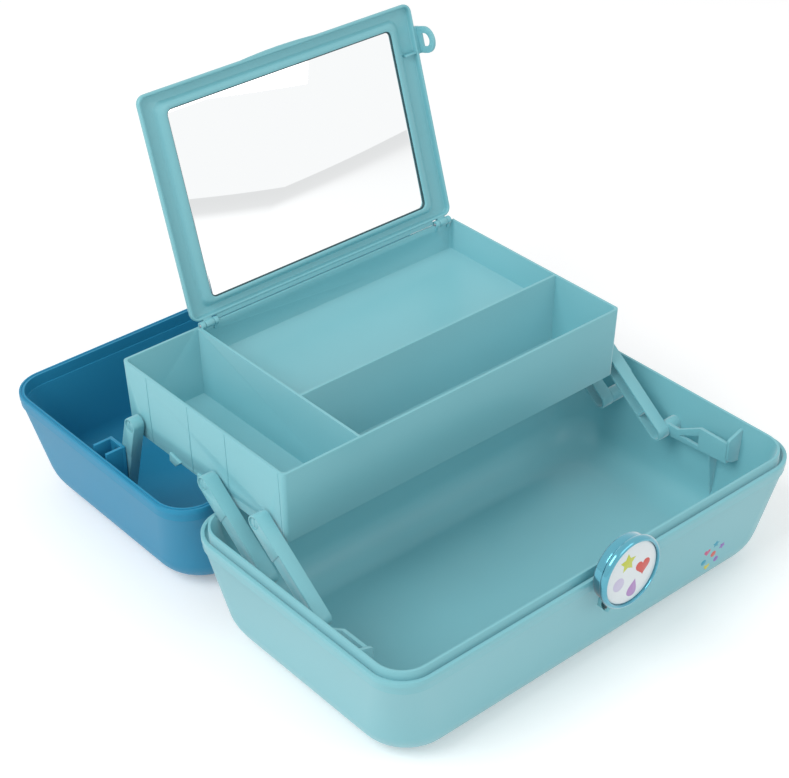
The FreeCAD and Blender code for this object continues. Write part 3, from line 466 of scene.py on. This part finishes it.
def print_sprinkle():
    """Seven small motifs in a loose ring."""
    shapes = (
        ("rose", heart(-6.2, 5.2, 5.6)), ("sea", star(1.0, 8.6, 3.0)),
        ("coral", circle(0.4, 0.4, 2.3)), ("violet", star(7.6, 3.6, 2.9, 60)),
        ("sea", circle(-7.6, -2.6, 2.2)), ("sun", heart(-3.4, -8.4, 5.0)),
        ("violet", circle(4.4, -6.0, 2.1)),
    )
    place = Matrix.Translation(PRINT_PLACE) @ Matrix.Rotation(WALL_LEAN, 4, "X")
    for colour, value in PRINT_COLOURS.items():
        bm = bmesh.new()
        for named, outline in shapes:
            if named == colour:
                add_plate(bm, "Y", outline, 0.1, -0.06)
        make_piece("print_" + colour, bm, ink("ink_" + colour, value), "base",
                   edge=INK_EDGE, place=place)


print_sprinkle()


# ---------------------------------------------------------------------------
# Lid tub. The same moulding in a deeper blue, shown turned right over behind the base.
# Its skirt closes over the base's collar, and a recess in its top holds the handle.
# ---------------------------------------------------------------------------

BLUE_LIGHT = (0.030, 0.300, 0.500, 1)
BLUE_DEEP = (0.024, 0.268, 0.460, 1)
LID_MIDDLE = 199.8
SLOT_FOOT = (197.2, 36.6)
SLOT_TOP = (194.2, 69.0)
SLOT_HALF = 2.7
RIB_PLACES = (188.0, 201.2)
RIB_THICK = 2.2
BARREL_HALF = 7

lid_plastic = moulded_plastic("lid_plastic", BLUE_LIGHT, BLUE_DEEP, 0.42, clear=0.02, shine=0.22)


def make_lid_shell():
    """The lid's wall, lip, skirt and floor, with the handle recess."""
    outer = wall_rows((13.9, 9.8), (1.4, 1.4), OUTER_RADII, 0.0, WALL_TOP, OUTER_BEND)
    lip = lip_rows(
        (WALL_TOP, 0.6), (STEP_TOP, 0.6), (STEP_TOP, 0.0), (LIP_TOP, 0.0), (LIP_TOP, 1.4),
        (75.4, 1.4), (75.4, 2.2), (LIP_TOP, 2.2), (LIP_TOP, 3.6), (68.0, 3.6))
    inner = wall_rows((18.4, 11.9), (6.3, 4.4), (30.0, 17.7), FLOOR_TOP, 68.0, INNER_BEND)
    recess = [rounded_ring(-58.6, 58.6, 178.2, 217.9, 2.0, level) for level in (12.0, 0.0)]
    box = [rounded_ring(-61.0, 61.0, 175.8, 220.3, 4.0, level) for level in (FLOOR_TOP, 14.4)]
    bm = bmesh.new()
    add_skin(bm, recess + tub_rings(outer + lip + inner[::-1], LID_MIDDLE) + box)
    shell = make_piece("lid_shell", bm, lid_plastic, "lid", edge=LIP_EDGE,
                       clean=False)
    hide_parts("lid_tub")


def make_lid_brackets():
    """A slotted plate for each lid arm on two ribs, the hinge barrels and the latch catch."""
    bm = bmesh.new()
    slot = circle(*SLOT_TOP, SLOT_HALF, 16, 5.3, 180)
    slot += circle(*SLOT_FOOT, SLOT_HALF, 16, 185.3, 180)
    outline = [(187.8, 30.2), (203.6, 30.2), (203.6, 75.2), (187.8, 75.2)]
    for side in (-1, 1):
        add_plate(bm, "X", outline, side * 143.9, side * 146.3, [slot])
        rib = [(side * x, level) for x, level in
               ((145.6, 30.2), (154.0, 30.2), (159.8, 67.0), (157.9, 68.5),
                (157.9, 75.2), (145.6, 75.2))]
        for y in RIB_PLACES:
            add_plate(bm, "Y", rib, y, y + RIB_THICK)
    for middle in HINGE_PLACES:
        low, high = middle - BARREL_HALF, middle + BARREL_HALF
        add_plate(bm, "X", circle(*HINGE_LINE, HINGE_RADIUS), low, high)
        add_block(bm, low, high, 99.9, 104.6, 72.6, 76.1)
    add_block(bm, -12.0, 12.0, 294.8, 296.7, 70.4, 72.4)
    make_piece("lid_brackets", bm, lid_plastic, "lid", edge=0.0003)


make_lid_shell()
make_lid_brackets()


# ---------------------------------------------------------------------------
# Pins. Drawn steel rods, pressed into the case hinge, the latch, the handle and the mirror
# lid's hinge. Only their ends show, so their steel carries fine drawing scratches.
# ---------------------------------------------------------------------------

STEEL = (0.60, 0.61, 0.63, 1)


def drawn_steel(name):
    """Drawn rod, with fine scratches round it."""
    material = bpy.data.materials.new(name)
    material.use_nodes = True
    tree = material.node_tree
    shader = tree.nodes["Principled BSDF"]
    shader.inputs["Metallic"].default_value = 1.0
    shader.inputs["Base Color"].default_value = STEEL
    place = tree.nodes.new("ShaderNodeTexCoord")
    marks = add_node(tree, "ShaderNodeTexNoise", Scale=1200.0, Detail=3.0)
    polish = tree.nodes.new("ShaderNodeMapRange")
    polish.inputs["To Min"].default_value = 0.22
    polish.inputs["To Max"].default_value = 0.42
    tree.links.new(place.outputs["Object"], marks.inputs["Vector"])
    tree.links.new(marks.outputs["Fac"], polish.inputs["Value"])
    tree.links.new(polish.outputs["Result"], shader.inputs["Roughness"])
    return material


pin_steel = drawn_steel("pin_steel")
for pin in ("case_hinge_pins", "latch_pin", "handle_pins", "mirror_hinge_pins"):
    finish_node(pin, pin_steel, edge=0.0001)


# ---------------------------------------------------------------------------
# Swing handle. A moulded bail in the lid's own plastic, which lies in the recess of the lid's
# top and swings up on two pins.
# ---------------------------------------------------------------------------

finish_node("handle", lid_plastic)


# ---------------------------------------------------------------------------
# Tray. Thin-walled moulding with one deep room at the left, a front room and a raised shelf at
# the back. It hangs on three pairs of arms by bosses on its side walls.
# ---------------------------------------------------------------------------

LINE_PLACES = (40.6, 91.0, 128.0, 170.0)
LINE_WIDTH = 0.7
LINE_OUTLINE = [(-136.0, 131.9), (-134.55, 83.4), (-133.8, 83.4), (-135.2, 131.9)]
NUB_OUTLINE = [(140.0, 84.4), (151.0, 86.8), (151.5, 80.4), (145.5, 79.0)]
NUB_NEAR = -135.9
NUB_FAR = -131.5

finish_node("tray", case_plastic, edge=0.0003)


def make_tray_lines():
    """Fine joint lines that the mould leaves down the tray's left wall, and the nub under it."""
    bm = bmesh.new()
    for y in LINE_PLACES:
        add_plate(bm, "Y", LINE_OUTLINE, y, y + LINE_WIDTH)
    make_piece("tray_lines", bm, case_plastic, "tray", edge=0.00008)
    bm = bmesh.new()
    add_plate(bm, "X", NUB_OUTLINE, NUB_NEAR, NUB_FAR)
    make_piece("tray_nub", bm, case_plastic, "tray", edge=0.0005)


make_tray_lines()


# ---------------------------------------------------------------------------
# Arms. Three pairs of channel mouldings that carry the tray. Each is held by split pins on
# their bosses, and has a thicker sleeve round its tray end.
# ---------------------------------------------------------------------------

ARMS = (
    "front_arm_left", "front_arm_right", "middle_arm_left", "middle_arm_right",
    "lid_arm_left", "lid_arm_right",
)
for arm in ARMS:
    finish_node(arm, case_plastic)

SLEEVES = {
    "front": ((53.0, 93.93), FRONT_PIVOT, 144.8, 145.5),
    "middle": ((102.9, 93.93), MIDDLE_PIVOT, 144.8, 145.5),
    "lid": ((181.3, 93.93), SLOT_FOOT, 143.3, 143.8),
}
SLEEVE_RADIUS = 5.1
SLEEVE_LENGTH = 24
RECESS_RADIUS = 4.2


def make_sleeves():
    """The thicker end of each arm, round the pin that holds it to the tray."""
    for name, (tray_end, far_end, near, far) in SLEEVES.items():
        ahead = Vector(far_end) - Vector(tray_end)
        ahead.normalize()
        across = Vector((-ahead.y, ahead.x))
        back = math.degrees(math.atan2(-ahead.y, -ahead.x))
        tip = circle(*tray_end, SLEEVE_RADIUS, 24, back - 90, 180)
        end = Vector(tray_end) + ahead * SLEEVE_LENGTH
        edge_points = [end + across * (SLEEVE_RADIUS * way) for way in (1, -1)]
        edge_points.sort(key=lambda p: (p - Vector(tip[-1])).length)
        outline = tip + [tuple(p) for p in edge_points]
        for tag, side in (("left", -1), ("right", 1)):
            bm = bmesh.new()
            add_plate(bm, "X", outline, side * near, side * far,
                      [circle(*tray_end, RECESS_RADIUS)])
            make_piece("%s_sleeve_%s" % (name, tag), bm, case_plastic,
                       "%s_arm_%s" % (name, tag), edge=0.00012)


make_sleeves()
for pin in ("base_split_pins", "tray_split_pins", "lid_arm_pin_left", "lid_arm_pin_right"):
    finish_node(pin, case_plastic, edge=0.0002)


# ---------------------------------------------------------------------------
# Mirror lid. A moulded panel hinged on the tray's rear edge, with a silvered glass glued into
# its front. It has a thumb edge at its top and a loop that catches the tray's peg.
# ---------------------------------------------------------------------------

SILVER = (0.94, 0.955, 0.96, 1)
# Painted shade: the near-black ring round the glass stands in for the shadow and reflection of the
# frame's lip.
LIP_SHADE_PALE = (0.012, 0.070, 0.085, 1)
LIP_SHADE_DARK = (0.008, 0.050, 0.062, 1)


def silvered_glass(name):
    """Silvered float glass with a barely uneven polish."""
    material = bpy.data.materials.new(name)
    material.use_nodes = True
    tree = material.node_tree
    shader = tree.nodes["Principled BSDF"]
    shader.inputs["Metallic"].default_value = 1.0
    shader.inputs["Base Color"].default_value = SILVER
    place = tree.nodes.new("ShaderNodeTexCoord")
    haze = add_node(tree, "ShaderNodeTexNoise", Scale=30.0, Detail=2.0)
    polish = tree.nodes.new("ShaderNodeMapRange")
    polish.inputs["To Min"].default_value = 0.005
    polish.inputs["To Max"].default_value = 0.02
    tree.links.new(place.outputs["Object"], haze.inputs["Vector"])
    tree.links.new(haze.outputs["Fac"], polish.inputs["Value"])
    tree.links.new(polish.outputs["Result"], shader.inputs["Roughness"])
    return material


MIRROR_LEAN = math.radians(72.9)
MIRROR_PLACE = Matrix.Translation((0, 193.98, 133.03)) @ Matrix.Rotation(MIRROR_LEAN, 4, "X")
PANEL = (-82.0, 135.6, 3.0, 149.6)
CHANNEL_FLOOR = -3.7
THUMB_MIDDLE = 26.8
THUMB_WIDTH = 63.0
THUMB_RISE = 1.2
LOOP_MIDDLE = (124.0, 6.0)
KNUCKLE_PLACES = (-71.0, 126.0)
KNUCKLE_HALF = 3.2
KNUCKLE_RADIUS = 2.6


def panel_ring(left, right, low, high, radius, level):
    """A ring on the panel, given by how far it stands in from each edge."""
    x0, x1, y0, y1 = PANEL
    return rounded_ring(x0 + left, x1 - right, y0 + low, y1 - high, radius, level, steps=8)


def make_mirror_panel():
    """Rolled rim, sunk channel, raised bezel that slopes up to the glass, and a plain back."""
    bm = bmesh.new()
    rings = [
        panel_ring(18.4, 20.0, 10.8, 13.3, 4.0, -2.0),
        panel_ring(18.4, 20.0, 10.8, 13.3, 4.0, -0.5),
        panel_ring(17.9, 19.5, 10.3, 12.8, 4.5, -0.15),
        panel_ring(17.0, 18.6, 9.6, 11.9, 5.2, 0.0),
        panel_ring(15.2, 16.8, 8.5, 10.6, 5.8, -0.25),
        panel_ring(13.4, 14.9, 7.6, 9.4, 6.2, -0.9),
        panel_ring(12.2, 13.6, 6.9, 8.6, 6.2, -1.9),
        panel_ring(11.5, 12.8, 6.4, 8.0, 6.0, -3.1),
        panel_ring(10.6, 11.8, 5.9, 7.4, 5.4, CHANNEL_FLOOR),
        panel_ring(2.9, 2.9, 2.5, 2.9, 3.2, CHANNEL_FLOOR),
        panel_ring(2.3, 2.3, 2.0, 2.3, 3.7, -3.2),
        panel_ring(2.0, 2.0, 1.8, 2.0, 4.0, -0.5),
        panel_ring(1.5, 1.5, 1.4, 1.5, 4.5, 0.0),
        panel_ring(0.6, 0.6, 0.6, 0.6, 5.4, 0.0),
        panel_ring(0.0, 0.0, 0.0, 0.0, 6.0, -0.6),
        panel_ring(0.0, 0.0, 0.0, 0.0, 6.0, -2.4),
        panel_ring(0.6, 0.6, 0.6, 0.6, 5.4, -3.7),
        panel_ring(2.2, 2.2, 2.2, 2.2, 3.8, -4.5),
    ]
    add_skin(bm, rings)
    panel = make_piece("mirror_panel", bm, case_plastic, "mirror_lid", edge=0.00015,
                       place=MIRROR_PLACE, clean=False)
    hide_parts("mirror_frame")


def make_mirror_fittings():
    """Thumb edge, cross rib, loop for the tray's peg, hinge knuckles and the flap between them."""
    bm = bmesh.new()
    end = PANEL[3]
    bend = THUMB_WIDTH * THUMB_WIDTH / (8 * THUMB_RISE) + THUMB_RISE / 2
    half = math.degrees(math.asin(THUMB_WIDTH / 2 / bend))
    arc = circle(THUMB_MIDDLE, end + THUMB_RISE - bend, bend, 24, 90 - half, 2 * half)
    foot = [(THUMB_MIDDLE + way * THUMB_WIDTH / 2, end - 1) for way in (-1, 1)]
    add_plate(bm, "Z", arc + foot, -2.0, -0.1)
    add_block(bm, 124.0, 133.8, 115.6, 117.0, -3.9, -0.6)
    outline = [(115.0, -3.6), (133.0, -3.6)] + circle(*LOOP_MIDDLE, 9.0, 24, 0, 180)
    hole = [(119.5, 3.0), (128.5, 3.0)] + circle(*LOOP_MIDDLE, 4.5, 20, 0, 180)
    add_plate(bm, "X", outline, 137.2, 139.0, [hole])
    add_block(bm, 134.6, 137.6, 115.0, 133.0, -3.6, -0.2)
    for place in KNUCKLE_PLACES:
        low, high = place - KNUCKLE_HALF, place + KNUCKLE_HALF
        add_plate(bm, "X", circle(0.0, 0.0, KNUCKLE_RADIUS, 24), low, high)
        add_block(bm, low, high, 0.0, 4.0, -KNUCKLE_RADIUS, 0.0)
    add_block(bm, -63.6, 118.7, 0.4, 4.2, -2.4, -0.5)
    make_piece("mirror_fittings", bm, case_plastic, "mirror_lid", edge=0.0002,
               place=MIRROR_PLACE)


def make_mirror_shade_ring():
    """A dark ring in the glass seat. It is painted shade that stands in for the shadow and dark
    reflection of the frame's lip round the mirror.
    """
    bm = bmesh.new()
    add_skin(bm, [
        panel_ring(18.3, 19.9, 10.7, 13.2, 4.1, -1.95),
        panel_ring(18.3, 19.9, 10.7, 13.2, 4.1, -1.0),
        panel_ring(18.9, 20.5, 11.3, 13.8, 3.6, -1.1),
        panel_ring(19.3, 20.9, 11.6, 14.2, 3.3, -1.65),
        panel_ring(19.3, 20.9, 11.6, 14.2, 3.3, -1.95),
    ], closed=True)
    # Near-black colour of the ring round the glass, painted shade for the lip's shadow.
    painted_shade = moulded_plastic("mirror_lip_shade", LIP_SHADE_PALE, LIP_SHADE_DARK, 0.5, clear=0.0)
    make_piece("mirror_shade_ring", bm, painted_shade, "mirror_lid", edge=0.00005,
               place=MIRROR_PLACE, clean=False)


def make_mirror_sheet():
    """The glass, sunk in its seat, so that the seat's wall shows as a dark line round it."""
    bm = bmesh.new()
    rings = [panel_ring(18.6, 20.2, 11.0, 13.5, 3.8, level) for level in (-1.99, -1.7)]
    add_skin(bm, rings)
    sheet = make_piece("mirror_sheet", bm, silvered_glass("mirror_glass"),
                       "mirror_lid", edge=0.0001, place=MIRROR_PLACE, clean=False)
    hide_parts("mirror_glass")


make_mirror_panel()
make_mirror_fittings()
make_mirror_shade_ring()
make_mirror_sheet()


# ---------------------------------------------------------------------------
# Latch. A round button on a short neck, pivoted low on the base's front: glossy metallic
# blue drum and bezel round a pearl-white face with small printed motifs.
# ---------------------------------------------------------------------------

LATCH_LIGHT = (0.10, 0.42, 0.53, 1)
LATCH_DEEP = (0.06, 0.33, 0.45, 1)
PEARL_LIGHT = (0.80, 0.86, 0.88, 1)
PEARL_DEEP = (0.72, 0.80, 0.83, 1)
LATCH_MIDDLE = 78.0
NECK_HALF = 6.8
FACE_LEVEL = -107.5

latch_plastic = moulded_plastic(
    "latch_plastic", LATCH_LIGHT, LATCH_DEEP, 0.12, bump=0.01, clear=1.0, metal=0.75)
pearl_plastic = moulded_plastic(
    "latch_face_plastic", PEARL_LIGHT, PEARL_DEEP, 0.25, bump=0.01, clear=0.6)


def turned_ring(radius, y):
    """A ring of the latch, round the line through its middle."""
    return [(a, y, b) for a, b in circle(0.0, LATCH_MIDDLE, radius, 64)]


def make_latch():
    """Drum and neck, rolled bezel, and the face that is pressed into it."""
    bm = bmesh.new()
    drum = ((20.6, -97.4), (21.5, -98.2), (21.5, -103.2), (20.9, -103.8), (20.9, -104.6))
    add_skin(bm, [turned_ring(radius, y) for radius, y in drum])
    add_block(bm, -NECK_HALF, NECK_HALF, -101.4, -97.4, 53.0, 61.0)
    add_plate(bm, "X", circle(*LATCH_LINE, 3.2, 24), -NECK_HALF, NECK_HALF)
    piece = make_piece("latch_button", bm, latch_plastic, "latch", edge=0.0003,
                       clean=False)
    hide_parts("latch_drum")
    bm = bmesh.new()
    bezel = (
        (20.8, -104.3), (22.4, -104.2), (23.2, -104.7), (23.6, -105.6), (23.6, -106.6),
        (23.3, -107.6), (22.7, -108.4), (22.0, -108.9), (21.4, -109.0), (20.95, -108.7),
        (20.8, -108.1))
    add_skin(bm, [turned_ring(radius, y) for radius, y in bezel], closed=True)
    piece = make_piece("latch_ring", bm, latch_plastic, "latch", edge=0.0001,
                       clean=False)
    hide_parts("latch_bezel")
    bm = bmesh.new()
    face = ((20.7, -104.7), (20.7, -107.0), (20.3, -107.4), (19.4, -107.6))
    add_skin(bm, [turned_ring(radius, y) for radius, y in face])
    piece = make_piece("latch_disc", bm, pearl_plastic, "latch", edge=0.0001,
                       clean=False)
    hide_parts("latch_face")


MOTIFS = (
    ("coral", (0.72, 0.10, 0.08, 1), heart(9.0, 78.4, 11.5)),
    ("lime", (0.62, 0.68, 0.08, 1), star(-3.6, 87.0, 6.4)),
    ("lilac", (0.50, 0.30, 0.62, 1), drop(1.4, 66.8, 5.8, 70)),
    ("mist", (0.66, 0.62, 0.82, 1), circle(-10.4, 74.6, 4.4)),
)


def print_motifs():
    """Four small motifs printed on the latch's face."""
    for name, colour, outline in MOTIFS:
        bm = bmesh.new()
        add_plate(bm, "Y", outline, FACE_LEVEL, FACE_LEVEL - 0.18)
        make_piece("motif_" + name, bm, ink("motif_" + name, colour, 0.25),
                   "latch", edge=INK_EDGE)


make_latch()
print_motifs()


# ---------------------------------------------------------------------------
# Studio. A pale sheet lies under the case and keeps its shadow. Soft light comes from all
# round, with one broad lamp high at the left and a weak one in front.
# ---------------------------------------------------------------------------

FLOOR_HALF = 14.0
FLOOR_LEVEL = -0.0002
FLOOR_WHITE = (0.93, 0.93, 0.93, 1)
FLOOR_SEEN = 0.26
FLOOR_MIRRORED = 0.24
SKY_LIGHT = 0.6
CASE_MIDDLE = (0, 0.05, 0.05)


def white_floor():
    """A plain sheet that keeps the shadow and goes white away from it."""
    mesh = bpy.data.meshes.new("floor")
    signs = ((-1, -1), (1, -1), (1, 1), (-1, 1))
    corners = [(x * FLOOR_HALF, y * FLOOR_HALF, FLOOR_LEVEL) for x, y in signs]
    mesh.from_pydata(corners, [], [(0, 1, 2, 3)])
    floor = bpy.data.objects.new("floor", mesh)
    bpy.context.scene.collection.objects.link(floor)
    floor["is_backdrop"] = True
    material = bpy.data.materials.new("floor_sheet")
    material.use_nodes = True
    tree = material.node_tree
    tree.nodes.remove(tree.nodes["Principled BSDF"])
    paper = add_node(tree, "ShaderNodeBsdfDiffuse", Color=FLOOR_WHITE)
    lift = add_node(tree, "ShaderNodeEmission", Color=(1, 1, 1, 1))
    ray = tree.nodes.new("ShaderNodeLightPath")
    seen = tree.nodes.new("ShaderNodeMath")
    seen.operation = "MULTIPLY"
    seen.inputs[1].default_value = FLOOR_SEEN
    mirrored = tree.nodes.new("ShaderNodeMath")
    mirrored.operation = "MULTIPLY_ADD"
    mirrored.inputs[1].default_value = FLOOR_MIRRORED
    tree.links.new(ray.outputs["Is Camera Ray"], seen.inputs[0])
    tree.links.new(ray.outputs["Is Glossy Ray"], mirrored.inputs[0])
    tree.links.new(seen.outputs[0], mirrored.inputs[2])
    tree.links.new(mirrored.outputs[0], lift.inputs["Strength"])
    both = tree.nodes.new("ShaderNodeAddShader")
    tree.links.new(paper.outputs[0], both.inputs[0])
    tree.links.new(lift.outputs[0], both.inputs[1])
    tree.links.new(both.outputs[0], tree.nodes["Material Output"].inputs["Surface"])
    mesh.materials.append(material)


def studio_world():
    """Even soft light, and plain white where the camera or a mirror looks past the floor."""
    world = bpy.data.worlds.new("studio")
    bpy.context.scene.world = world
    world.use_nodes = True
    tree = world.node_tree
    sky = tree.nodes["Background"]
    sky.inputs["Color"].default_value = (1, 1, 1, 1)
    ray = tree.nodes.new("ShaderNodeLightPath")
    seen = tree.nodes.new("ShaderNodeMath")
    seen.operation = "MAXIMUM"
    more = tree.nodes.new("ShaderNodeMath")
    more.operation = "MAXIMUM"
    level = tree.nodes.new("ShaderNodeMapRange")
    level.inputs["To Min"].default_value = SKY_LIGHT
    level.inputs["To Max"].default_value = 1.0
    tree.links.new(ray.outputs["Is Camera Ray"], seen.inputs[0])
    tree.links.new(ray.outputs["Is Glossy Ray"], seen.inputs[1])
    tree.links.new(seen.outputs[0], more.inputs[0])
    tree.links.new(ray.outputs["Is Transmission Ray"], more.inputs[1])
    tree.links.new(more.outputs[0], level.inputs["Value"])
    tree.links.new(level.outputs["Result"], sky.inputs["Strength"])


def soft_lamp(name, place, width, height, power):
    """A soft box turned to the case."""
    lamp = bpy.data.lights.new(name, "AREA")
    lamp.shape = "RECTANGLE"
    lamp.size = width
    lamp.size_y = height
    lamp.energy = power
    holder = bpy.data.objects.new(name, lamp)
    holder.location = place
    holder.rotation_mode = "QUATERNION"
    holder.rotation_quaternion = (Vector(CASE_MIDDLE) - Vector(place)).to_track_quat("-Z", "Y")
    bpy.context.scene.collection.objects.link(holder)


white_floor()
studio_world()
soft_lamp("key", (-1.7, 0.1, 1.9), 1.3, 1.3, 27.0)
soft_lamp("fill", (0.5, -1.9, 1.5), 1.6, 1.2, 8.0)


# ---------------------------------------------------------------------------
# Camera. Stands off the case's front left corner with a long lens, a little above the case,
# and looks down on the open tray.
# ---------------------------------------------------------------------------

CAMERA_PLACE = (-0.6610, -0.6763, 0.7832)
CAMERA_TURN = math.radians(40.49)
CAMERA_DOWN = math.radians(33.87)
CAMERA_ROLL = math.radians(-0.49)
CAMERA_LENS = 89.3

camera_data = bpy.data.cameras.new("camera")
camera_data.lens = CAMERA_LENS
camera_data.sensor_width = 36.0
camera_data.clip_end = 100.0
camera = bpy.data.objects.new("camera", camera_data)
ahead = Vector((
    math.sin(CAMERA_TURN) * math.cos(CAMERA_DOWN),
    math.cos(CAMERA_TURN) * math.cos(CAMERA_DOWN),
    -math.sin(CAMERA_DOWN),
))
level_right = Vector((math.cos(CAMERA_TURN), -math.sin(CAMERA_TURN), 0))
level_up = level_right.cross(ahead)
right = level_right * math.cos(CAMERA_ROLL) + level_up * math.sin(CAMERA_ROLL)
up = level_up * math.cos(CAMERA_ROLL) - level_right * math.sin(CAMERA_ROLL)
turn = Matrix((right, up, -ahead)).transposed()
camera.matrix_world = Matrix.Translation(CAMERA_PLACE) @ turn.to_4x4()
bpy.context.scene.collection.objects.link(camera)
bpy.context.scene.camera = camera
bpy.context.scene.view_settings.view_transform = "Standard"

# The glass shows only the white room round the case, so the pieces before it stay out of it.
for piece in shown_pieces():
    if not piece.name.startswith(("latch", "lid_", "handle", "mirror")):
        piece.visible_glossy = False
